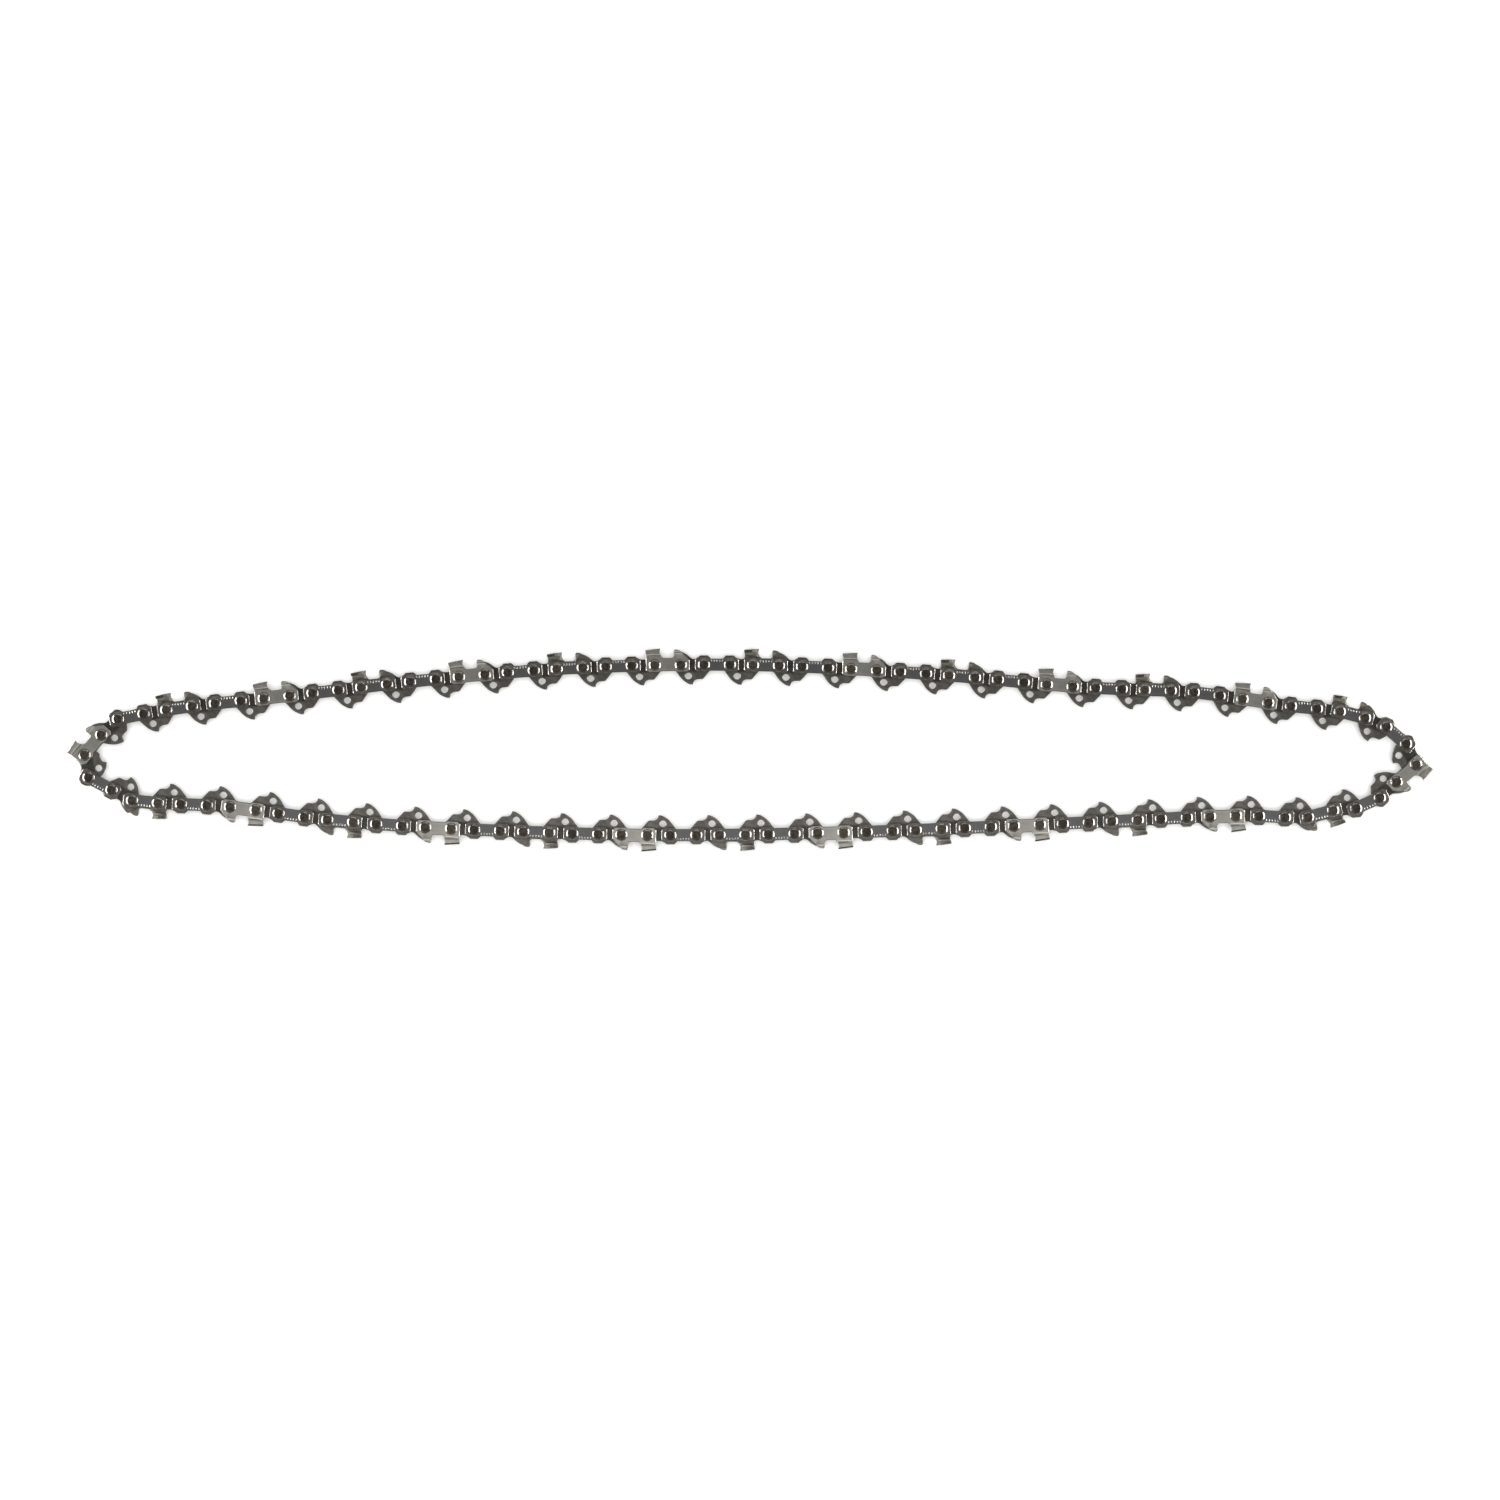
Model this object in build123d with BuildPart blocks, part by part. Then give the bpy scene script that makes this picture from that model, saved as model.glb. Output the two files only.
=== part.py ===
from build123d import *
import os

import numpy as np

# Sizes in millimetres. Every link is drawn with its rear rivet at the origin, x in the direction
# of travel, y away from the middle of the loop and z = 0 in the middle of the chain's thickness.
pitch = 9.525  # 3/8 inch, half the distance over three rivets
cutter_pairs = 14  # one right-hand and one left-hand cutter in each
side_span = 10.1  # rivet to rivet in a cutter or a tie strap
drive_span = 2 * pitch - side_span  # rivet to rivet in a drive link

gauge = 1.3  # drive link thickness, which fits the bar groove
side_play = 0.08  # between a drive link and the link on either side
strap_thickness = 1.25
half_kerf = 3.4  # from the middle of the chain to the outer corner of a cutter

hub_radius = 2.1  # rivet inside the drive links
neck_radius = 1.6  # rivet inside the side links
head_radius = 2.4
head_flat = 1.65
head_height = 0.65
head_rim = 0.12
pivot_clearance = 0.06
neck_clearance = 0.03

side_inner = gauge / 2 + side_play  # inner and outer face of the side links
side_outer = side_inner + strap_thickness

lobe_height = 3.6  # drive link, outer edge at its rivets
lobe_flat = 1.5
dip_height = 2.3
end_reach = 3.2
tang_depth = 7.8
tang_shoulder = 5.6
oil_hole_radius = 1.3
bumper_height = 5.2

strap_end = 3.45  # end of a side link past its rivet
strap_lobe = 2.85  # half height at the rivets
strap_waist = 2.35  # half height between them
strap_corner = 0.7
strap_bevel = 0.18

gullet_height = 2.75
gauge_height = 6.0  # depth gauge, tip
gauge_bend = 4.3
gauge_set = 0.5  # how far the depth gauge's tip stands out sideways
tooth_rear = 3.3
tooth_front = 2.6
tooth_crease = 3.2  # height where the side plate is cranked outwards
tooth_top_front = 6.5
tooth_top_rear = 5.85
tooth_plate = 1.1
tooth_reach = 1.0  # top plate, past the middle of the chain
tooth_taper = 0.25  # the tooth is this much narrower at its back
file_radius = 2.0
file_angle = 30

link_count = 4 * cutter_pairs
rivet_count = 2 * link_count

# How the loop lies, seen from above: some rivets by their number in the direction of travel, with
# x and y for a loop of 112 rivets. Rivet 0 is behind the tooth of the cutter at the left-hand end.
laid_rivets = [
    (0, -258, -2.5), (1, -251.5, 5.5), (2, -245, 11.5), (3, -235.5, 13.5), (5, -216.5, 16.5),
    (9, -179, 20.5), (15, -122, 27), (21, -65, 31.5), (28, 1.5, 32.5), (36, 77.5, 28.5),
    (41, 125.5, 24), (45, 164, 22.5), (46, 173, 22), (50, 210.5, 16.5), (52, 229.5, 14.5),
    (53, 239, 12), (54, 247.5, 8.5), (55, 255, 2), (56, 259, -6.5), (57, 251, -13),
    (58, 244.5, -19), (59, 235.5, -23), (60, 226.5, -24), (61, 216.5, -26.5), (64, 188.5, -26),
    (72, 112.5, -29.5), (80, 36.5, -32.5), (88, -40, -33.5), (96, -116, -31), (100, -154, -28.5),
    (102, -173, -26.5), (105, -201.5, -22.5), (107, -220.5, -21.5), (109, -239.5, -20),
    (110, -247.5, -16), (111, -256.5, -11),
]
laid_count = 112
laid_pitch = 9.525


# A smooth closed line through the named rivets, taken at every rivet.
def smooth_loop():
    numbers = [row[0] * rivet_count / laid_count for row in laid_rivets]
    grow = pitch * rivet_count / (laid_pitch * laid_count)
    places = [np.array(row[1:]) * grow for row in laid_rivets]
    numbers = [numbers[-1] - rivet_count] + numbers + [n + rivet_count for n in numbers[:2]]
    places = [places[-1]] + places + places[:2]
    line = []
    for rivet_number in range(rivet_count):
        k = max(i for i in range(1, len(numbers) - 2) if numbers[i] <= rivet_number)
        run = numbers[k + 1] - numbers[k]
        t = (rivet_number - numbers[k]) / run
        leave = (places[k + 1] - places[k - 1]) / (numbers[k + 1] - numbers[k - 1]) * run
        arrive = (places[k + 2] - places[k]) / (numbers[k + 2] - numbers[k]) * run
        start = (2 * t**3 - 3 * t**2 + 1) * places[k] + (t**3 - 2 * t**2 + t) * leave
        end = (3 * t**2 - 2 * t**3) * places[k + 1] + (t**3 - t**2) * arrive
        line.append(start + end)
    return np.array(line)


# The least shift of all rivets that gives every link its true length, so that the loop closes.
def true_lengths(line):
    lengths = np.where(np.arange(rivet_count) % 2 == 0, side_span, drive_span)
    for _ in range(12):
        steps = np.roll(line, -1, axis=0) - line
        spans = np.hypot(steps[:, 0], steps[:, 1])
        pull = np.zeros((rivet_count, rivet_count, 2))
        for i in range(rivet_count):
            pull[i, i] = -steps[i] / spans[i]
            pull[i, (i + 1) % rivet_count] = steps[i] / spans[i]
        pull = pull.reshape(rivet_count, 2 * rivet_count)
        shift = pull.T @ np.linalg.solve(pull @ pull.T, spans - lengths)
        line = line - shift.reshape(rivet_count, 2)
    return line


rivets = true_lengths(smooth_loop())


# Where the link from one rivet to the next lies.
def link_place(number):
    x, y = rivets[number]
    ahead = rivets[(number + 1) % rivet_count] - rivets[number]
    plane = Plane(origin=(x, y, half_kerf), x_dir=(ahead[0], ahead[1], 0), z_dir=(0, 0, 1))
    return plane.location


with BuildPart() as rivet:
    with BuildSketch(Plane.XZ):
        with BuildLine():
            top = side_outer + head_height
            rim = side_outer + head_rim
            bulge = (head_flat + 0.72 * (head_radius - head_flat), rim + 0.72 * (top - rim))
            Polyline((0, 0), (0, top), (head_flat, top))
            ThreePointArc((head_flat, top), bulge, (head_radius, rim))
            Polyline((head_radius, rim), (head_radius, side_outer), (neck_radius, side_outer))
            Polyline((neck_radius, side_outer), (neck_radius, side_inner), (hub_radius, side_inner))
            Polyline((hub_radius, side_inner), (hub_radius, 0), (0, 0))
        make_face()
    revolve(axis=Axis.Z)
    mirror(about=Plane.XY)
rivet.part.label = "rivet"


# Side view of a drive link: two rivet lobes, a tang for the bar groove with a hooked tip and an
# oil hole. The one in front of a depth gauge also has a bumper over its rear rivet.
def drive_link_face(bumper):
    front = drive_span
    low = (-1.9, -2.7)
    tip = (4.6, -tang_depth)
    with BuildSketch() as face:
        with BuildLine():
            lobe = (front - lobe_flat, lobe_height)
            if bumper:
                start = (-1.7, bumper_height - 0.7)
                crest = (-0.2, bumper_height)
                slope = (2.3, bumper_height - 1.15)
                dip = (4.3, dip_height + 0.1)
                Spline(start, crest, slope, dip, (front - 2.9, dip_height + 0.15), lobe)
            else:
                start = (-lobe_flat, lobe_height)
                Line(start, (lobe_flat, lobe_height))
                ThreePointArc((lobe_flat, lobe_height), (front / 2, dip_height), lobe)
            corner = (front + lobe_flat, lobe_height)
            heel = (front + 2.3, -2.4)
            Line(lobe, corner)
            ThreePointArc(corner, (front + end_reach, 0.6), heel)
            shoulder = (front - 0.4, -tang_shoulder)
            hook = (6.3, -tang_shoulder - 0.05)
            Polyline(heel, shoulder, hook)
            Spline(hook, (5.3, -tang_shoulder - 0.6), tip)
            Spline(tip, (2.9, 0.45 - tang_depth), (0.5, 2.1 - tang_depth), low)
            ThreePointArc(low, (-end_reach, 0.6), start)
        make_face()
        with Locations((0, 0), (front, 0)):
            Circle(hub_radius + pivot_clearance, mode=Mode.SUBTRACT)
        with Locations((2.9, -4.4)):
            Circle(oil_hole_radius, mode=Mode.SUBTRACT)
    return face.sketch


with BuildPart() as plain_drive_link:
    add(drive_link_face(False))
    extrude(amount=gauge / 2, both=True)
plain_drive_link.part.label = "drive link"

with BuildPart() as bumper_drive_link:
    add(drive_link_face(True))
    extrude(amount=gauge / 2, both=True)
bumper_drive_link.part.label = "drive link with bumper"


# The inner edge that cutters and tie straps share, from the rear end to the front end.
def side_inner_edge():
    corner = strap_lobe - 1.0
    waist = 2.4
    return [
        (-strap_end, -corner),
        (0.9 - strap_end, -strap_lobe),
        (waist - 1.1, -strap_lobe),
        (waist, -strap_waist),
        (side_span - waist, -strap_waist),
        (side_span - waist + 1.1, -strap_lobe),
        (side_span + strap_end - 0.9, -strap_lobe),
        (side_span + strap_end, -corner),
    ]


with BuildPart() as tie_strap:
    with BuildSketch(Plane.XY.offset(side_inner)) as strap_face:
        with BuildLine():
            edge = side_inner_edge()
            Polyline(*edge, *[(x, -y) for x, y in reversed(edge)], close=True)
        make_face()
        fillet(strap_face.vertices(), strap_corner)
        with Locations((0, 0), (side_span, 0)):
            Circle(neck_radius + neck_clearance, mode=Mode.SUBTRACT)
    extrude(amount=strap_thickness)
    chamfer(faces().sort_by(Axis.Z)[-1].outer_wire().edges(), strap_bevel)
tie_strap.part.label = "tie strap"


# Section across a right-hand cutter's tooth: the side plate is cranked outwards and folds over
# into the top plate, which reaches past the middle of the chain.
def tooth_section(at, top, outer):
    inner = outer - tooth_plate
    with BuildSketch(Plane.YZ.offset(at)) as section:
        with BuildLine():
            Polyline(
                (tooth_crease - 0.6, side_inner),
                (tooth_crease + 0.1, side_inner),
                (tooth_crease + 0.9, inner),
                (top - tooth_plate, inner),
                (top - tooth_plate, -tooth_reach),
                (top, -tooth_reach),
                (top, outer),
                (tooth_crease + 0.7, outer),
                (tooth_crease, side_outer),
                (tooth_crease - 0.6, side_outer),
                close=True,
            )
        make_face()
        fold = section.vertices().sort_by_distance((top, outer))[0]
        fillet(fold, 0.7)
    return section.sketch


with BuildPart() as tooth:
    add(tooth_section(-tooth_rear, tooth_top_rear, half_kerf - tooth_taper))
    add(tooth_section(tooth_front + 0.4, tooth_top_front, half_kerf))
    loft(ruled=True)
    file_place = Plane(
        origin=(tooth_front + 0.85 * file_radius, tooth_top_front - 0.7 * file_radius, half_kerf),
        x_dir=(0, 1, 0),
        z_dir=Vector(0, 0, 1).rotate(Axis.Y, file_angle),
    )
    with BuildSketch(file_place):
        Circle(file_radius)
        with Locations((0, -file_radius)):
            Rectangle(2 * file_radius, 2 * file_radius)
    extrude(amount=4 * half_kerf, both=True, mode=Mode.SUBTRACT)
tooth.part.label = "tooth"

with BuildPart() as right_cutter:
    with BuildSketch(Plane.YZ.offset(-2 * side_span)):
        with BuildLine():
            Polyline(
                (-2 * strap_lobe, side_inner),
                (gauge_bend + 0.1, side_inner),
                (gauge_bend + 0.6, side_inner + gauge_set),
                (2 * gauge_height, side_inner + gauge_set),
                (2 * gauge_height, side_outer + gauge_set),
                (gauge_bend + 0.5, side_outer + gauge_set),
                (gauge_bend, side_outer),
                (-2 * strap_lobe, side_outer),
                close=True,
            )
        make_face()
    extrude(amount=4 * side_span)
    with BuildSketch() as cutter_face:
        with BuildLine():
            edge = side_inner_edge()
            front_end = (side_span + strap_end, 1.7)
            gauge_back = side_span - 2.7
            gauge_tip = (gauge_back + 0.5, gauge_height)
            Polyline(*edge, front_end)
            Spline(
                front_end,
                (side_span + 1.4, 0.66 * gauge_height),
                (side_span - 0.5, 0.93 * gauge_height),
                gauge_tip,
            )
            Polyline(
                gauge_tip,
                (gauge_back, gauge_height - 0.5),
                (gauge_back, gullet_height),
                (tooth_front + 0.6, gullet_height),
                (tooth_front + 0.2, tooth_crease),
                (-tooth_rear, tooth_crease),
                (-strap_end, tooth_crease - 0.5),
                edge[0],
            )
        make_face()
        gullet = cutter_face.vertices().sort_by_distance((gauge_back, gullet_height))[0]
        fillet(gullet, 0.9)
        heels = cutter_face.vertices().group_by(Axis.Y)[0:2]
        fillet(heels[0] + heels[1], strap_corner)
    extrude(amount=2 * half_kerf, mode=Mode.INTERSECT)
    add(tooth.part)
    with Locations((0, 0, side_inner), (side_span, 0, side_inner)):
        Cylinder(
            neck_radius + neck_clearance,
            3 * strap_thickness,
            mode=Mode.SUBTRACT,
        )
right_cutter.part.label = "right-hand cutter"

with BuildPart() as left_cutter:
    mirror(right_cutter.part, about=Plane.XY)
left_cutter.part.label = "left-hand cutter"


# One pitch of the chain: a pair of side links on two rivets, and the drive link ahead of them.
def chain_link(number):
    side = link_place(2 * number)
    upper = side
    lower = side * Location((side_span, 0, 0), (0, 180, 0))
    kind = number % 4
    if kind == 0:
        name = "right_cutter_link"
        plates = [right_cutter.part.moved(upper), tie_strap.part.moved(lower)]
    elif kind == 2:
        name = "left_cutter_link"
        plates = [left_cutter.part.moved(upper), tie_strap.part.moved(upper)]
    else:
        name = "tie_strap_link"
        plates = [tie_strap.part.moved(upper), tie_strap.part.moved(lower)]
    drive = bumper_drive_link if kind in (0, 2) else plain_drive_link
    pins = [rivet.part.moved(side), rivet.part.moved(side * Location((side_span, 0, 0)))]
    pieces = plates + pins + [drive.part.moved(link_place(2 * number + 1))]
    return Compound(label=f"{name}_{number + 1:02d}", children=pieces)


links = [chain_link(number) for number in range(link_count)]
boxes = [link.bounding_box() for link in links]
middle_x = (min(box.min.X for box in boxes) + max(box.max.X for box in boxes)) / 2
middle_y = (min(box.min.Y for box in boxes) + max(box.max.Y for box in boxes)) / 2
floor = min(box.min.Z for box in boxes)

os.makedirs("parts", exist_ok=True)
for link in links:
    centred = link.moved(Location((-middle_x, -middle_y, -floor)))
    export_step(centred, f"parts/{link.label}.step")
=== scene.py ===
import math

import bmesh
import bpy
from mathutils import Matrix, Vector


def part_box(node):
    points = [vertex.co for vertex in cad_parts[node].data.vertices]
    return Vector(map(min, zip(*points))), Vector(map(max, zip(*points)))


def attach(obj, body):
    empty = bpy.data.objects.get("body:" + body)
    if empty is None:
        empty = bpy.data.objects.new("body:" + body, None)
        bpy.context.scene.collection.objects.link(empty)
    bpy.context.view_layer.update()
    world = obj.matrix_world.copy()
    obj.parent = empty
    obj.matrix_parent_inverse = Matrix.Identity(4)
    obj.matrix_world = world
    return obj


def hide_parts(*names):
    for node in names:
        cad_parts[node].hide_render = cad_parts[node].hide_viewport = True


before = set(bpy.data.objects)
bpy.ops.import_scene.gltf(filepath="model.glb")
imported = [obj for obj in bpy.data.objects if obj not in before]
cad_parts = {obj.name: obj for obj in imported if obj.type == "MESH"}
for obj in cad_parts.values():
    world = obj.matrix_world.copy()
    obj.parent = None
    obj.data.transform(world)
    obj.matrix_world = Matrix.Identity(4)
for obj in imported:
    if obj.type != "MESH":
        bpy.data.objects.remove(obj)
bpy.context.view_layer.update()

mm = 0.001  # pieces are drawn in millimetres and placed in metres
print("solids loaded:", len(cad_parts))

# material slots, in the order that every link carries them
slots = ["crown", "rim", "drive", "strap", "plated", "inside", "edge", "tick"]
slotOf = {name: number for number, name in enumerate(slots)}


def toLinear(hexColour):
    parts = [int(hexColour[i:i + 2], 16) / 255 for i in (1, 3, 5)]
    linear = [c / 12.92 if c <= 0.04045 else ((c + 0.055) / 1.055) ** 2.4 for c in parts]
    return (*linear, 1.0)


def addNode(tree, kind, settings=None, links=None):
    node = tree.nodes.new(kind)
    for key, value in (settings or {}).items():
        if isinstance(key, int) or key in node.inputs:
            node.inputs[key].default_value = value
        else:
            setattr(node, key, value)
    for socket, source in (links or {}).items():
        tree.links.new(source, node.inputs[socket])
    return node


# One entry a finish. Sizes in millimetres: grain is the fine texture, patch the slow mottling,
# stretch draws the grain out along the link, spread is how far pieces differ in tone.
finishes = {
    # peened rivet end, hardened and oil-quenched: a dull brown-black flat with a few rubbed spots;
    # the darkness is partly a painted reflection of the dark space above that the flat mirrors
    "crown": dict(title="oilQuenchedSteelPeenedPaintedReflection", dark="#454039", light="#6a6459", patch=1.3,
                  grain=0.35, stretch=1.0, rough=(0.42, 0.62), bump=0.012, spread=0.35),
    # a rivet's rolled-over rim, and a tooth's top plate, burnished: bright with soft swirls
    "rim": dict(title="carbonSteelBurnished", dark="#7a7774", light="#a5a29e", patch=1.0,
                grain=0.4, stretch=1.0, rough=(0.18, 0.28), bump=0.006, spread=0.20),
    # drive link, stamped, hardened and tumbled: satin warm grey, mottled from the stones
    "drive": dict(title="carbonSteelTumbled", dark="#787570", light="#98948d", patch=2.6,
                  grain=0.45, stretch=1.6, rough=(0.36, 0.50), bump=0.010, spread=0.30,
                  # painted shade: darker in the slot between the straps, where their ends and edges
                  # shade the link
                  band=dict(tint="#312e2a", axis=1, middle=0.0, fade=(3.1, 2.4), share=0.55)),
    # tie strap, stamped from blue-tempered strip: cool grey with the strip's grain along it
    "strap": dict(title="temperedStripSteelStamped", dark="#6e6d6c", light="#8a8884", patch=3.0,
                  grain=0.40, stretch=4.0, rough=(0.36, 0.50), bump=0.010, spread=0.30,
                  # the strip's blue stays between the rivets; the ends are rubbed grey
                  band=dict(tint="#848487", axis=0, middle=5.05, fade=(3.1, 2.3), share=0.75)),
    # outside of a cutter and both faces of its tooth: pale silky grey, hard-chrome plating on the
    # outside; on the tooth's inner face the pale colour is painted light, lifting a face that sits
    # in shade
    "plated": dict(title="hardChromePlatedSatin", dark="#c0beb6", light="#dad8d0", patch=3.5,
                   grain=0.40, stretch=3.0, rough=(0.28, 0.42), bump=0.008, spread=0.25),
    # inside of a cutter and the heel of its tooth, bare hardened steel: dull grey-brown scale,
    # drawn lighter as painted light for faces that sit in shade
    "inside": dict(title="hardenedSteelScaled", dark="#928d85", light="#b0aba2", patch=1.8,
                   grain=0.40, stretch=1.5, rough=(0.42, 0.60), bump=0.012, spread=0.25),
    # sheared edges of all plates, and a tooth's chamfer and filed front: mid grey, worn shiny
    "edge": dict(title="shearedSteelWornBright", dark="#6a6761", light="#938f87", patch=0.9,
                 grain=0.35, stretch=1.0, rough=(0.24, 0.38), bump=0.008, spread=0.25),
    # raised bars and end slopes of the tie straps, rubbed by the wood and the links: bright; on the
    # end slopes the brightness is also a painted highlight, the glint of the side lamps
    "tick": dict(title="rolledSteelRubbedPaintedHighlight", dark="#a09d96", light="#ccc9c2", patch=0.9,
                 grain=0.35, stretch=1.0, rough=(0.24, 0.36), bump=0.004, spread=0.20),
}

# parts of the noise that the grain and the mottling use, and how strongly
noiseSet = dict(apart=90.0, patch=(0.30, 0.70), speck=(0.30, 0.75), speckle=0.16,
                rough=(0.3, 0.7), relief=0.6)


def tintBand(tree, place, colour, band):
    # mixes a tint in along a band of the piece, fading out at both sides: a real colour on the
    # straps, painted shade on the drive links
    spot = addNode(tree, "ShaderNodeSeparateXYZ", links={0: place}).outputs[band["axis"]]
    off = addNode(tree, "ShaderNodeMath", {"operation": "SUBTRACT", 1: band["middle"]}, {0: spot})
    far = addNode(tree, "ShaderNodeMath", {"operation": "ABSOLUTE"}, {0: off.outputs[0]})
    fade = dict(zip(("From Min", "From Max"), band["fade"]))
    share = addNode(tree, "ShaderNodeMapRange", {**fade, "To Max": band["share"]},
                    {"Value": far.outputs[0]})
    return addNode(tree, "ShaderNodeMix", {"data_type": "RGBA", 7: toLinear(band["tint"])},
                   {0: share.outputs[0], 6: colour}).outputs[2]


def makeSteel(look):
    s = noiseSet
    steel = bpy.data.materials.new(look["title"])
    steel.use_nodes = True
    tree = steel.node_tree
    tree.nodes.clear()

    def mapped(source, low, high, span):
        return addNode(tree, "ShaderNodeMapRange", {"From Min": span[0], "From Max": span[1],
                       "To Min": low, "To Max": high}, {"Value": source}).outputs[0]

    place = addNode(tree, "ShaderNodeUVMap", {"uv_map": "grainMm"}).outputs[0]
    piece = addNode(tree, "ShaderNodeNewGeometry").outputs["Random Per Island"]
    shift = addNode(tree, "ShaderNodeCombineXYZ", links={"X": piece, "Z": piece}).outputs[0]
    far = addNode(tree, "ShaderNodeVectorMath", {"operation": "SCALE", "Scale": s["apart"]},
                  {0: shift}).outputs[0]
    own = addNode(tree, "ShaderNodeVectorMath", {"operation": "ADD"}, {0: place, 1: far}).outputs[0]
    drawn = addNode(tree, "ShaderNodeMapping", {"Scale": (1 / look["stretch"], 1, 1)},
                    {"Vector": own}).outputs[0]
    # true grain is under 0.1 mm; drawn at 0.35 to 0.45 mm so that it shows in the render
    grain = addNode(tree, "ShaderNodeTexNoise", {"Scale": 1 / look["grain"], "Detail": 4.0,
                    "Roughness": 0.6}, {"Vector": drawn}).outputs[0]
    patch = addNode(tree, "ShaderNodeTexNoise", {"Scale": 1 / look["patch"], "Detail": 3.0,
                    "Roughness": 0.55}, {"Vector": own}).outputs[0]
    mottle = mapped(patch, 0.0, 1.0, s["patch"])
    speck = mapped(grain, -s["speckle"], s["speckle"], s["speck"])
    tone = mapped(piece, -look["spread"], look["spread"], (0.0, 1.0))
    mixed = addNode(tree, "ShaderNodeMath", {"operation": "ADD"}, {0: mottle, 1: speck}).outputs[0]
    share = addNode(tree, "ShaderNodeMath", {"operation": "ADD", "use_clamp": True},
                    {0: mixed, 1: tone}).outputs[0]
    colour = addNode(tree, "ShaderNodeMix", {"data_type": "RGBA", 6: toLinear(look["dark"]),
                     7: toLinear(look["light"])}, {0: share}).outputs[2]
    # a band of tint: real blue on the straps, painted shade between the straps on the drive links
    if "band" in look:
        colour = tintBand(tree, place, colour, look["band"])
    rough = mapped(grain, *look["rough"], s["rough"])
    relief = addNode(tree, "ShaderNodeBump", {"Strength": s["relief"],
                     "Distance": look["bump"] * mm}, {"Height": grain}).outputs[0]
    shader = addNode(tree, "ShaderNodeBsdfPrincipled", {"Metallic": 1.0},
                     {"Base Color": colour, "Roughness": rough, "Normal": relief})
    addNode(tree, "ShaderNodeOutputMaterial", links={"Surface": shader.outputs[0]})
    return steel


steels = [makeSteel(finishes[name]) for name in slots]
print("steels made:", len(steels))


# lines and outlines, in millimetres


def between(start, end, share):
    return tuple(a + (b - a) * share for a, b in zip(start, end))


def arcThrough(start, middle, end, count):
    a, b, c = (complex(*p) for p in (start, middle, end))
    w = (c - a) / (b - a)
    centre = (b - a) * (w - abs(w) ** 2) / (2j * w.imag) + a
    first, half, last = (p - centre for p in (a, b, c))
    turn = math.atan2((last / first).imag, (last / first).real)
    part = math.atan2((half / first).imag, (half / first).real)
    if part * turn < 0 or abs(part) > abs(turn):
        turn -= math.copysign(2 * math.pi, turn)
    angles = [turn * i / count for i in range(count)]
    points = [centre + first * complex(math.cos(angle), math.sin(angle)) for angle in angles]
    return [(p.real, p.imag) for p in points]


def smoothThrough(points, count):
    rows = [Vector(p) for p in points]
    rows = [2 * rows[0] - rows[1]] + rows + [2 * rows[-1] - rows[-2]]
    line = []
    for i in range(1, len(rows) - 2):
        p0, p1, p2, p3 = rows[i - 1:i + 3]
        for j in range(count):
            t = j / count
            q = 0.5 * (2 * p1 + (p2 - p0) * t + (2 * p0 - 5 * p1 + 4 * p2 - p3) * t * t
                       + (3 * p1 - p0 - 3 * p2 + p3) * t ** 3)
            line.append((q.x, q.y))
    return line


def roundCorners(corners, count=5):
    line = []
    for i, (x, y, radius) in enumerate(corners):
        if radius == 0:  # keeps the point
            line.append((x, y))
            continue
        here = Vector((x, y))
        back = Vector(corners[i - 1][:2]) - here
        ahead = Vector(corners[(i + 1) % len(corners)][:2]) - here
        angle = back.angle(ahead)
        run = radius / math.tan(angle / 2)
        back.normalize()
        ahead.normalize()
        centre = here + (back + ahead).normalized() * radius / math.sin(angle / 2)
        first, last = here + back * run - centre, here + ahead * run - centre
        turn = first.angle_signed(last)
        for j in range(count + 1):
            line.append(tuple(centre + Matrix.Rotation(-turn * j / count, 2) @ first))
    return line


def insetLine(line, depth, mitre=0.5):
    # moves a closed counter-clockwise line inwards; mitre holds back sharp corners
    moved = []
    for i, point in enumerate(line):
        here = Vector(point)
        one = (here - Vector(line[i - 1])).normalized()
        two = (Vector(line[(i + 1) % len(line)]) - here).normalized()
        left, right = Vector((-one.y, one.x)), Vector((-two.y, two.x))
        push = (left + right) / max(1 + left.dot(right), mitre)
        moved.append(tuple(here + push * depth))
    return moved


def tidyLine(line, closest=1e-4):
    # counter-clockwise, with no doubled points
    kept = [p for i, p in enumerate(line) if (Vector(p) - Vector(line[i - 1])).length > closest]
    area = sum(a[0] * b[1] - b[0] * a[1] for a, b in zip(kept, kept[1:] + kept[:1]))
    return kept if area > 0 else kept[::-1]


def circleLine(x, y, radius, count):
    angles = [2 * math.pi * i / count for i in range(count)]
    return [(x + radius * math.cos(angle), y + radius * math.sin(angle)) for angle in angles]


def plateRings(bottom, top, lowEdge, highEdge, lean=0.08, drop=0.80):
    # (inset, height) from the lower face to the upper; tumbling leaves each rim a shallow slope
    # of about 41 degrees above a small round
    return [(lowEdge, bottom), (lean * lowEdge, bottom + drop * lowEdge), (0, bottom + lowEdge),
            (0, top - highEdge), (lean * highEdge, top - drop * highEdge), (highEdge, top)]


def addPlate(bm, outline, holes, rings, lowSlot, highSlot):
    loops = []
    for line, inward in [(tidyLine(outline), 1)] + [(tidyLine(hole), -1) for hole in holes]:
        levels = [[bm.verts.new((x, y, height)) for x, y in insetLine(line, inward * inset)]
                  for inset, height in rings]
        for lower, upper in zip(levels, levels[1:]):
            for i in range(len(line)):
                face = bm.faces.new((lower[i - 1], lower[i], upper[i], upper[i - 1]))
                face.material_index = slotOf["edge"]
        loops.append(levels)
    for level, name in ((0, lowSlot), (-1, highSlot)):
        rims = [levels[level] for levels in loops]
        edges = [bm.edges.get((rim[i - 1], rim[i])) for rim in rims for i in range(len(rim))]
        made = bmesh.ops.triangle_fill(bm, use_beauty=True, use_dissolve=False, edges=edges)
        for item in made["geom"]:
            if isinstance(item, bmesh.types.BMFace):
                item.material_index = slotOf[name]


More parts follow.
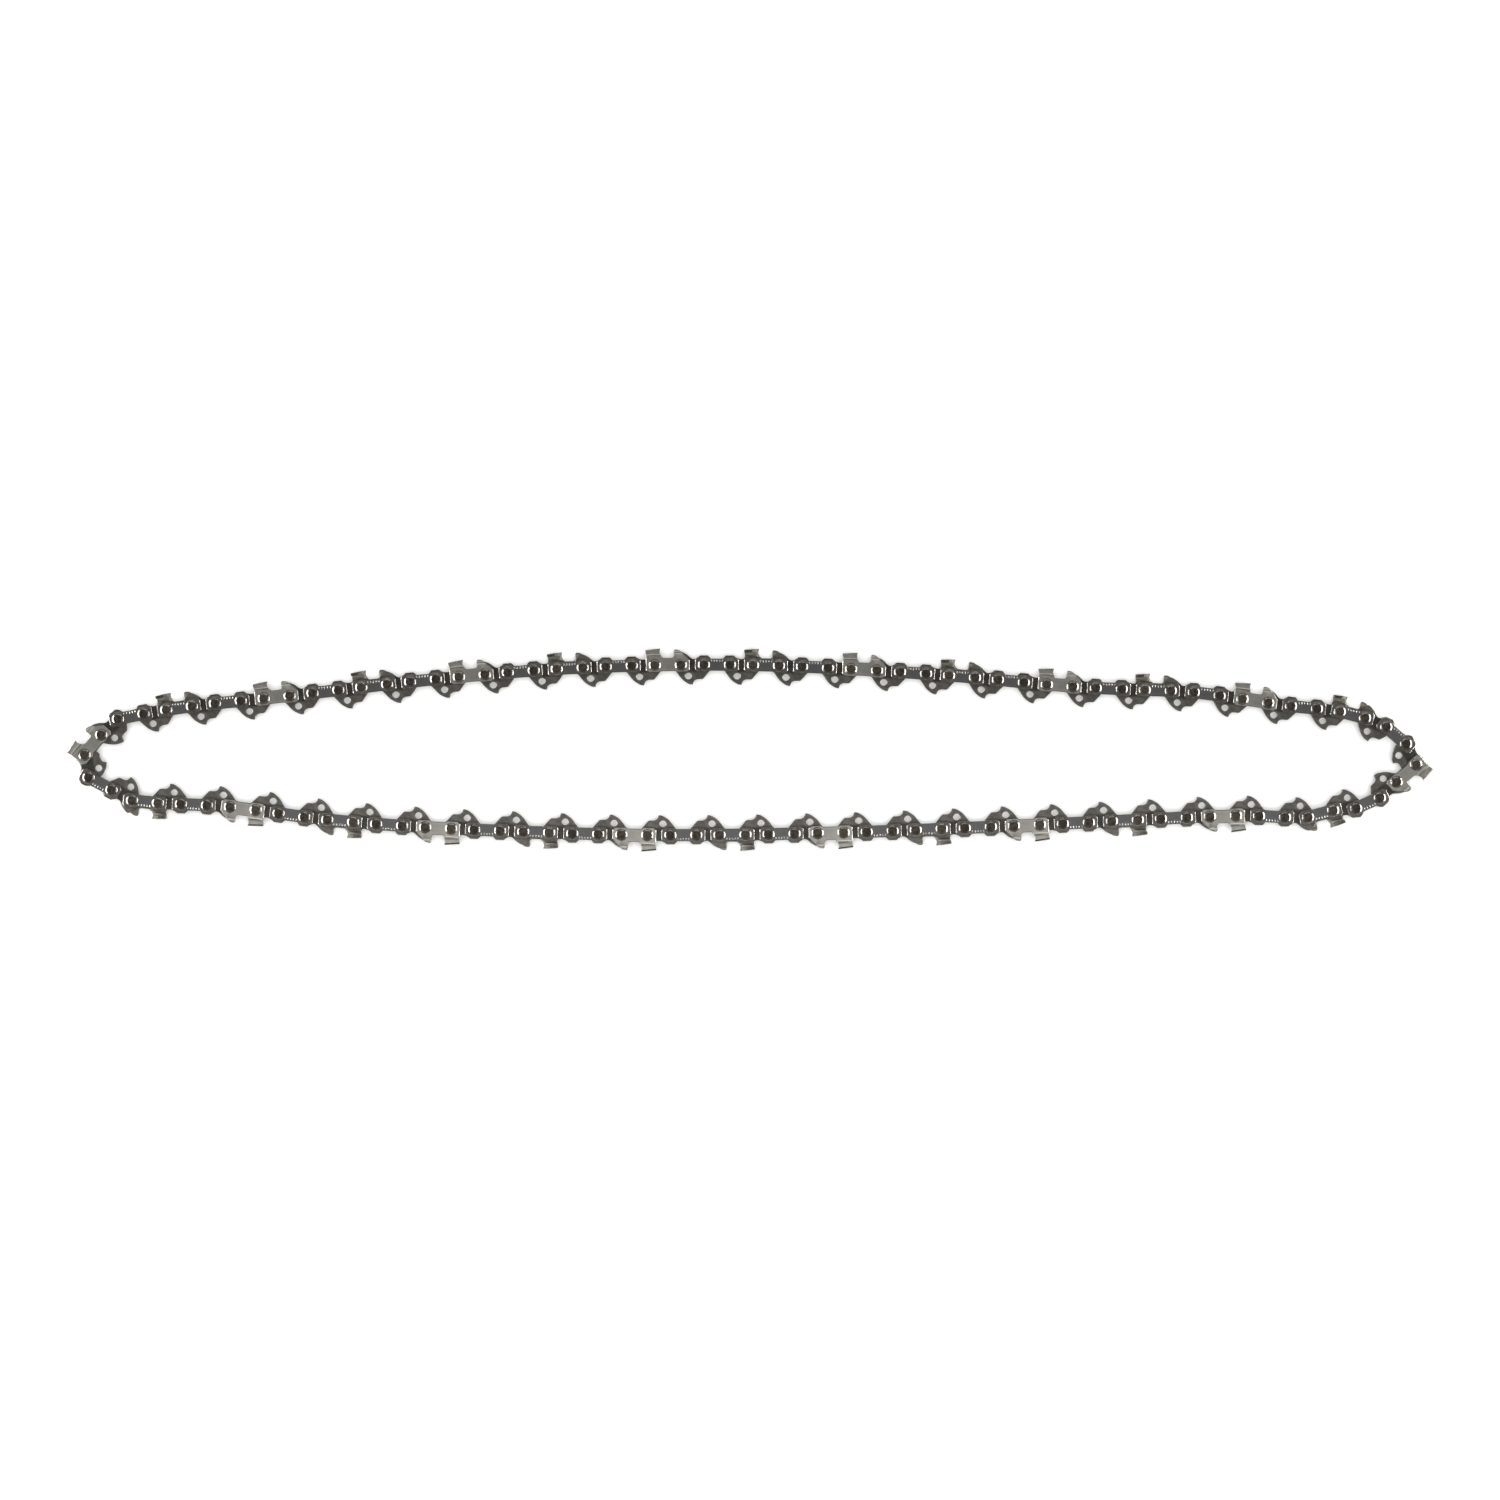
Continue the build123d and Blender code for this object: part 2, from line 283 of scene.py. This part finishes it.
def finishMaster(bm, name, flatFrom=0.9, sharpFrom=26):
    bmesh.ops.recalc_face_normals(bm, faces=bm.faces[:])
    grain = bm.loops.layers.uv.new("grainMm")  # places on the piece in mm, for the steel's grain
    for face in bm.faces:
        face.smooth = True
        for loop in face.loops:
            x, y, z = loop.vert.co
            loop[grain].uv = (x, y if abs(face.normal.z) > flatFrom else y + z)
    for edge in bm.edges:
        edge.smooth = edge.calc_face_angle(0) < math.radians(sharpFrom)
    mesh = bpy.data.meshes.new(name)
    bm.to_mesh(mesh)
    bm.free()
    return mesh


rivetSet = dict(
    around=40, crown=1.67,  # the crown's finish ends at this radius
    dish=[(0.0, 2.56), (0.80, 2.56), (1.25, 2.588), (1.58, 2.63), (1.66, 2.61)],  # (radius, height)
    cone=[(1.76, 2.55), (2.20, 2.21), (2.26, 2.15), (2.36, 2.05), (2.4, 2.0), (2.4, 1.98)],
    neck=[(1.6, 1.98), (1.6, 0.73), (2.1, 0.73)])


def makeRivet():
    s = rivetSet
    half = s["dish"] + s["cone"] + s["neck"]
    bm = bmesh.new()
    rows = []
    for r, z in half + [(r, -z) for r, z in reversed(half)]:
        ring = circleLine(0, 0, r, s["around"]) if r else [(0, 0)]
        rows.append([bm.verts.new((x, y, z)) for x, y in ring])
    for a, b in zip(rows, rows[1:]):
        for i in range(s["around"]):
            if len(a) == 1:
                ring = [a[0], b[i], b[i - 1]]
            elif len(b) == 1:
                ring = [a[i - 1], a[i], b[0]]
            else:
                ring = [a[i - 1], a[i], b[i], b[i - 1]]
            face = bm.faces.new(ring)
            far = max(Vector(v.co[:2]).length for v in ring)
            # the crown's dark brown-black is partly a painted reflection
            face.material_index = slotOf["crown" if far < s["crown"] else "rim"]
    return finishMaster(bm, "rivetMaster")


driveSet = dict(
    front=8.95, half=0.65, edge=0.10, pivot=2.16, oilHole=1.3, oilAt=(2.9, -4.4), around=28,
    start=(-1.5, 3.6), saddle=((1.5, 3.6), (4.475, 2.3)),  # the plain link's back
    ramp=[(-1.7, 4.5), (-0.2, 5.2), (2.3, 4.05), (4.3, 2.4), (6.05, 2.45)],  # the bumper's back
    lobe=(7.45, 3.6), nose=((10.45, 3.6), (12.15, 0.6), (11.25, -2.4)),
    shoulder=[(8.7, -5.4), (8.3, -5.6)], hook=[(6.3, -5.65), (5.3, -6.2)], tip=(4.6, -7.8),
    belly=[(2.9, -7.35), (0.5, -5.7)], low=(-1.9, -2.7), heel=(-3.2, 0.6))


def makeDriveLink(bumper):
    s = driveSet
    if bumper:
        start = s["ramp"][0]
        line = smoothThrough(s["ramp"] + [s["lobe"]], count=7)
    else:
        start = s["start"]
        line = [start] + arcThrough(*s["saddle"], s["lobe"], count=14)
    line += [s["lobe"]] + arcThrough(*s["nose"], count=12)
    line += [s["nose"][-1]] + s["shoulder"]
    line += smoothThrough(s["hook"] + [s["tip"]], count=6)
    line += smoothThrough([s["tip"]] + s["belly"] + [s["low"]], count=7)
    line += arcThrough(s["low"], s["heel"], start, count=14)
    circles = ((0, 0, s["pivot"]), (s["front"], 0, s["pivot"]), (*s["oilAt"], s["oilHole"]))
    holes = [circleLine(*circle, s["around"]) for circle in circles]
    bm = bmesh.new()
    rings = plateRings(-s["half"], s["half"], s["edge"], s["edge"])
    addPlate(bm, line, holes, rings, "drive", "drive")
    return finishMaster(bm, "bumperDriveLinkMaster" if bumper else "plainDriveLinkMaster")


strapSet = dict(
    span=10.1, end=3.45, lobe=2.85, waist=2.35, corner=0.7, cut=(0.9, 1.0), turn=(1.3, 2.4),
    inner=0.73, outer=1.98, lowEdge=0.06, highEdge=0.22, hole=1.63, around=20,
    rubbedHighlightHalf=2.2, rubbedHighlightSlope=(0.5, 0.9),  # half width and steepness of the end slopes, rubbed and given a painted highlight
    bars=5, barFrom=2.85, barTo=7.25, barAt=1.50, barLong=0.80, barWide=0.46,
    barRows=[(0, -0.03), (0, 0.01), (0.18, 0.13)])  # (inset, height), hipped like a roof


def sideEdge():
    s = strapSet
    (along, up), (bulge, waist) = s["cut"], s["turn"]
    rear = [(-s["end"], up - s["lobe"]), (along - s["end"], -s["lobe"]), (bulge, -s["lobe"]),
            (waist, -s["waist"])]
    return rear + [(s["span"] - x, y) for x, y in reversed(rear)]


def addSidePlate(bm, corners, lowSlot, highSlot, rubbedHighlightSlot):
    s = strapSet
    holes = [circleLine(x, 0, s["hole"], s["around"]) for x in (0, s["span"])]
    rings = plateRings(s["inner"], s["outer"], s["lowEdge"], s["highEdge"])
    addPlate(bm, roundCorners(corners), holes, rings, lowSlot, highSlot)
    bm.normal_update()
    for face in bm.faces:  # the slopes at a link's two ends rub on its neighbours, and their bright colour is also a painted highlight
        spot = face.calc_center_median()
        atEnd = spot.z > s["outer"] - s["highEdge"] and abs(spot.y) < s["rubbedHighlightHalf"]
        if atEnd and s["rubbedHighlightSlope"][0] < abs(face.normal.x) < s["rubbedHighlightSlope"][1]:
            face.material_index = slotOf[rubbedHighlightSlot]


def makeTieStrap():
    s = strapSet
    edge = sideEdge()
    corners = [(x, y, s["corner"]) for x, y in edge]
    corners += [(x, -y, s["corner"]) for x, y in reversed(edge)]
    bm = bmesh.new()
    addSidePlate(bm, corners, "strap", "strap", "tick")
    for i in range(s["bars"]):  # a plain band of short raised bars near the outer edge
        x = s["barFrom"] + (s["barTo"] - s["barFrom"]) * i / (s["bars"] - 1)
        rows = []
        for inset, height in s["barRows"]:
            w, h, z = s["barWide"] / 2 - inset, s["barLong"] / 2 - inset, s["outer"] + height
            rows.append([bm.verts.new((x + a * w, s["barAt"] + b * h, z))
                         for a, b in ((-1, -1), (1, -1), (1, 1), (-1, 1))])
        faces = [bm.faces.new(rows[0]), bm.faces.new(rows[-1])]
        for a, b in zip(rows, rows[1:]):
            faces += [bm.faces.new((a[j - 1], a[j], b[j], b[j - 1])) for j in range(4)]
        for face in faces:
            face.material_index = slotOf["tick"]
    return finishMaster(bm, "tieStrapMaster")


cutterSet = dict(
    nose=[(13.55, 1.7), (11.5, 3.96), (9.6, 5.58), (7.9, 6.0)],  # front of the depth gauge
    rest=[(7.9, 6.0, 0), (7.4, 5.5, 0), (7.4, 2.75, 0.9), (3.2, 2.75, 0), (2.8, 3.3, 0),
          (-3.3, 3.3, 0), (-3.45, 2.7, 0)],  # gauge, gullet and foot of the tooth: (x, y, radius)
    bend=4.3, bendLong=0.9, bendLines=6, lean=0.5,  # the gauge is cranked outwards
    rear=3.3, front=2.6, past=0.4, gullet=2.75, crease=3.2, topFront=6.5, topRear=5.85,
    plate=1.1, tight=0.25, reach=1.0, kerf=3.4, taper=0.25,
    fileRadius=2.0, fileAngle=30, fileDrop=0.7, fileBack=0.85, footOut=0.55, footSlope=0.9,
    heelIn=0.2, heelLean=0.5, heelHigh=2.6,
    columns=3, stations=6, rounds=24, chamferFace=16, topFace=21)  # faces counted from the foot

# The bent plate of the tooth in cross-section, (y, z) steps for each of its two lines. The foot
# is counted from the crease and the strap's face, the others from the crease and the tooth's face.
farSet = dict(foot=[(-0.45, -0.08), (-0.24, 0.0), (0.16, 0.23)], crank=(0.58, -0.12),
              roll=(0.74, -0.06), sideFrom=0.95, sideTo=0.68,
              fold=[(-0.62, -0.01), (-0.46, -0.10), (-0.30, -0.20), (-0.15, -0.30),
                    (-0.03, -0.39), (0.0, -0.46)])  # a chamfer
nearSet = dict(foot=[(-0.45, 0.08), (0.10, 0.0), (0.26, 0.12)], crank=(0.76, -0.14),
               roll=(0.92, -0.06), sideFrom=1.10, sideTo=cutterSet["plate"] + cutterSet["tight"],
               fold=[(cutterSet["tight"] * math.sin(math.pi * i / 12) - cutterSet["plate"]
                      - cutterSet["tight"], cutterSet["tight"] * (math.cos(math.pi * i / 12) - 1))
                     for i in range(1, 7)])  # a tight round


def makeRightCutter():
    s, strap = cutterSet, strapSet
    bm = bmesh.new()
    corners = [(x, y, strap["corner"]) for x, y in sideEdge()]
    corners += [(x, y, 0) for x, y in smoothThrough(s["nose"], count=7)] + s["rest"]
    # the cutter's inner faces take the inside finish, lightened as painted light for their shade
    addSidePlate(bm, corners, "inside", "plated", "plated")
    for step in range(s["bendLines"]):
        y = s["bend"] + s["bendLong"] * step / (s["bendLines"] - 1)
        bmesh.ops.bisect_plane(bm, geom=bm.verts[:] + bm.edges[:] + bm.faces[:],
                               plane_co=(0, y, 0), plane_no=(0, 1, 0))
    for vert in bm.verts:
        t = min(max((vert.co.y - s["bend"]) / s["bendLong"], 0), 1)
        vert.co.z += s["lean"] * t * t * (3 - 2 * t)
    addTooth(bm)
    return finishMaster(bm, "rightCutterMaster")


def toothLines(t):
    # outer and inner line of the bent plate, as (y, z), at share t of the way from back to front
    s, crease = cutterSet, cutterSet["crease"]
    top = s["topRear"] + (s["topFront"] - s["topRear"]) * t
    outer = s["kerf"] - s["taper"] * (1 - t)
    lines = []
    for line, base, face in ((farSet, strapSet["outer"], outer),
                             (nearSet, strapSet["inner"], outer - s["plate"])):
        points = [(crease + y, base + z) for y, z in line["foot"]]
        start, end = points[-1], (crease + line["crank"][0], face + line["crank"][1])
        points += [between(start, end, i / 4) for i in range(1, 4)]
        points.append((crease + line["roll"][0], face + line["roll"][1]))
        start, end = (crease + line["sideFrom"], face), (top - line["sideTo"], face)
        points += [between(start, end, i / 8) for i in range(9)]
        points += [(top + y, face + z) for y, z in line["fold"]]
        start, end = points[-1], (points[-1][0], -s["reach"])
        points += [between(start, end, i / 6) for i in range(1, 7)]
        lines.append(points)
    return lines


def filedFront(y, z):
    # where the round file leaves the front of the tooth
    s = cutterSet
    end = s["front"] + s["past"]
    if y < s["crease"]:
        return min(end, s["front"] + s["footOut"] - (y - s["gullet"]) * s["footSlope"])
    up = y - (s["topFront"] - s["fileDrop"] * s["fileRadius"])
    if abs(up) >= s["fileRadius"]:
        return end
    slope = math.radians(s["fileAngle"])
    back = math.sqrt(s["fileRadius"] ** 2 - up * up)
    skew = (math.sin(slope) * (z - s["kerf"]) - back) / math.cos(slope)
    return min(end, s["front"] + s["fileBack"] * s["fileRadius"] + skew)


def addTooth(bm):
    s = cutterSet
    length = s["rear"] + s["front"] + s["past"]
    columns, stations = s["columns"], s["stations"]

    def pointAt(i, across, t):
        far, near = toothLines(t)
        return between(far[i], near[i], across)

    def ends(i, across):
        y = pointAt(i, across, 0)[0]  # the heel leans back towards the top
        lean = s["heelLean"] * min(max((y - s["crease"]) / s["heelHigh"], 0), 1)
        t = 1.0
        for _ in range(s["rounds"]):
            t = (filedFront(*pointAt(i, across, t)) + s["rear"]) / length
        return (s["heelIn"] - lean) / length, t

    count = len(toothLines(1)[0])
    spots = {}  # (i, across step, station) -> vertex, on the skin and both end faces
    for i in range(count):
        for c in range(columns + 1):
            first, last = ends(i, c / columns)
            skin = c in (0, columns) or i in (0, count - 1)
            for k in range(stations + 1):
                if skin or k in (0, stations):
                    t = first + (last - first) * k / stations
                    y, z = pointAt(i, c / columns, t)
                    spots[i, c, k] = bm.verts.new((-s["rear"] + length * t, y, z))

    def addFace(name, *keys):
        bm.faces.new([spots[key] for key in keys]).material_index = slotOf[name]

    for k in range(stations):
        for i in range(count - 1):
            outside = "plated" if i < s["chamferFace"] else "edge" if i < s["topFace"] else "rim"
            # the tooth's inner face (last column) takes the pale plated colour as painted light for
            # its shade
            for c, name in ((0, outside), (columns, "plated")):
                addFace(name, (i, c, k), (i + 1, c, k), (i + 1, c, k + 1), (i, c, k + 1))
        for i in (0, count - 1):
            for c in range(columns):
                addFace("edge", (i, c, k), (i, c + 1, k), (i, c + 1, k + 1), (i, c, k + 1))
    for k, name in ((0, "inside"), (stations, "edge")):  # sheared heel, filed front
        for i in range(count - 1):
            for c in range(columns):
                addFace(name, (i, c, k), (i + 1, c, k), (i + 1, c + 1, k), (i, c + 1, k))


def mirrorMaster(mesh, name):
    bm = bmesh.new()
    bm.from_mesh(mesh)
    bmesh.ops.scale(bm, vec=(1, 1, -1), verts=bm.verts[:])
    bmesh.ops.reverse_faces(bm, faces=bm.faces[:])
    mirrored = bpy.data.meshes.new(name)
    bm.to_mesh(mirrored)
    bm.free()
    return mirrored


rivetMesh = makeRivet()
plainDriveMesh, bumperDriveMesh = makeDriveLink(False), makeDriveLink(True)
strapMesh = makeTieStrap()
rightCutterMesh = makeRightCutter()
leftCutterMesh = mirrorMaster(rightCutterMesh, "leftCutterMaster")
masters = (rivetMesh, plainDriveMesh, bumperDriveMesh, strapMesh, rightCutterMesh, leftCutterMesh)
for mesh in masters:
    print("drawn:", mesh.name, len(mesh.polygons), "faces")


# the rivets of each link, read from the flat ends of the solids' rivets
linkNodes = sorted(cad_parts, key=lambda name: int(name[-2:]))
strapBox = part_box(next(name for name in linkNodes if name.startswith("tie_strap")))
middle = (strapBox[0].z + strapBox[1].z) / 2
flatTop = strapBox[1].z
findSet = dict(flat=2e-6, rivet=4 * mm, span=0.05 * mm)  # how near counts as the same, in metres


def rivetPair(name):
    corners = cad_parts[name].data.vertices
    rim = [v.co.copy() for v in corners if abs(v.co.z - flatTop) < findSet["flat"]]
    groups = [[], []]
    for p in rim:
        groups[(p - rim[0]).length >= findSet["rivet"]].append(p)
    pair = []
    for group in groups:
        xs, ys = [p.x for p in group], [p.y for p in group]
        pair.append(Vector(((min(xs) + max(xs)) / 2, (min(ys) + max(ys)) / 2, middle)))
    assert abs((pair[0] - pair[1]).length - strapSet["span"] * mm) < findSet["span"], name
    return pair


pairs = [rivetPair(name) for name in linkNodes]
for number, pair in enumerate(pairs):  # rear rivet first: it is the further one from the next link
    ahead = pairs[(number + 1) % len(pairs)]
    pair.sort(key=lambda p: -min((p - q).length for q in ahead))
print("links found:", len(pairs))


def placeFrom(rear, front):
    along, up = (front - rear).normalized(), Vector((0, 0, 1))
    turn = Matrix((along, up.cross(along), up)).transposed().to_4x4()
    return Matrix.Translation(rear) @ turn @ Matrix.Scale(mm, 4)


def addCopy(bm, mesh, place):
    start = len(bm.verts)
    bm.from_mesh(mesh)
    bm.verts.ensure_lookup_table()
    bmesh.ops.transform(bm, matrix=place, verts=bm.verts[start:])


asDrawn = Matrix.Identity(4)
toFront = Matrix.Translation((strapSet["span"], 0, 0))
turnOver = toFront @ Matrix.Rotation(math.pi, 4, "Y")
sideLinks = {
    "right": ((rightCutterMesh, asDrawn), (strapMesh, turnOver)),
    "left": ((leftCutterMesh, asDrawn), (strapMesh, asDrawn)),
    "tie": ((strapMesh, asDrawn), (strapMesh, turnOver)),
}
for number, name in enumerate(linkNodes):
    rear, front = pairs[number]
    nextRear = pairs[(number + 1) % len(pairs)][0]
    side = placeFrom(rear, front)
    kind = name.split("_")[0]
    cutter = kind != "tie"
    bm = bmesh.new()
    for master, turn in (*sideLinks[kind], (rivetMesh, asDrawn), (rivetMesh, toFront)):
        addCopy(bm, master, side @ turn)
    addCopy(bm, bumperDriveMesh if cutter else plainDriveMesh, placeFrom(front, nextRear))
    mesh = bpy.data.meshes.new(name + "_dressed")
    bm.to_mesh(mesh)
    bm.free()
    for steel in steels:
        mesh.materials.append(steel)
    link = bpy.data.objects.new(name + "_dressed", mesh)
    bpy.context.scene.collection.objects.link(link)
    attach(link, "link_" + name[-2:])
    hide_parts(name)
for mesh in masters:
    bpy.data.meshes.remove(mesh)
print("links dressed:", len(linkNodes))


studio = dict(floor="#f4f4f3", floorSize=6.0, floorDrop=0.0001, floorRough=0.9, floorShine=0.1,
              world="#e2e1de", worldPower=0.26, skyAngle=55,
              field=0.5826, lens=120.0, sensor=36.0, seeTo=20)

floorPaint = bpy.data.materials.new("mattePaperSweep")  # plain pale paper, no gloss
floorPaint.use_nodes = True
paper = floorPaint.node_tree.nodes["Principled BSDF"]
paper.inputs["Base Color"].default_value = toLinear(studio["floor"])
paper.inputs["Roughness"].default_value = studio["floorRough"]
paper.inputs["Specular IOR Level"].default_value = studio["floorShine"]
bm = bmesh.new()
bmesh.ops.create_grid(bm, x_segments=2, y_segments=2, size=studio["floorSize"] / 2)
floorMesh = bpy.data.meshes.new("floor")
bm.to_mesh(floorMesh)
bm.free()
floorMesh.materials.append(floorPaint)
floor = bpy.data.objects.new("floor", floorMesh)
floor.location.z = -studio["floorDrop"]  # just under the chain, so that no faces coincide
bpy.context.scene.collection.objects.link(floor)

world = bpy.data.worlds.new("studioAir")
world.use_nodes = True
air = world.node_tree.nodes["Background"]
air.inputs["Color"].default_value = toLinear(studio["world"])
air.inputs["Strength"].default_value = studio["worldPower"]
bpy.context.scene.world = world
bpy.context.scene.view_settings.view_transform = "Standard"  # plain white paper stays white

# name: place, size (wide, high), watts, seen in the steel's shine.
# The sun has no size, and its watts are for each square metre.
lamps = {
    "leftPanel": ((-1.10, 0.00, 0.16), (1.2, 0.25), 11.0, True),
    "rightPanel": ((1.10, 0.00, 0.16), (1.2, 0.25), 11.0, True),
    "keyPanel": ((0.00, 1.25, 0.75), (1.6, 0.5), 3.6, True),
    "nearStrip": ((0.00, -0.09, 0.23), (0.70, 0.08), 0.20, True),
    "skyFill": ((0.00, 0.00, 2.20), None, 2.75, False),
}
for name, (place, size, watts, shine) in lamps.items():
    lamp = bpy.data.lights.new(name, "AREA" if size else "SUN")
    if size:
        lamp.shape = "RECTANGLE"
        lamp.size, lamp.size_y = size
    else:
        lamp.angle = math.radians(studio["skyAngle"])  # an even soft light over the whole floor
    lamp.energy = watts
    lampObject = bpy.data.objects.new(name, lamp)
    lampObject.location = place
    lampObject.rotation_euler = (-Vector(place)).to_track_quat("-Z", "Y").to_euler()
    lampObject.visible_glossy = shine
    lampObject.visible_camera = False
    bpy.context.scene.collection.objects.link(lampObject)

lens = bpy.data.cameras.new("viewFromAbove")
lens.lens, lens.sensor_width = studio["lens"], studio["sensor"]
lens.clip_end = studio["seeTo"]
eye = bpy.data.objects.new("viewFromAbove", lens)
eye.location = (0, 0, middle + studio["field"] * studio["lens"] / studio["sensor"])
bpy.context.scene.collection.objects.link(eye)
bpy.context.scene.camera = eye
print("studio set")

bpy.context.view_layer.update()
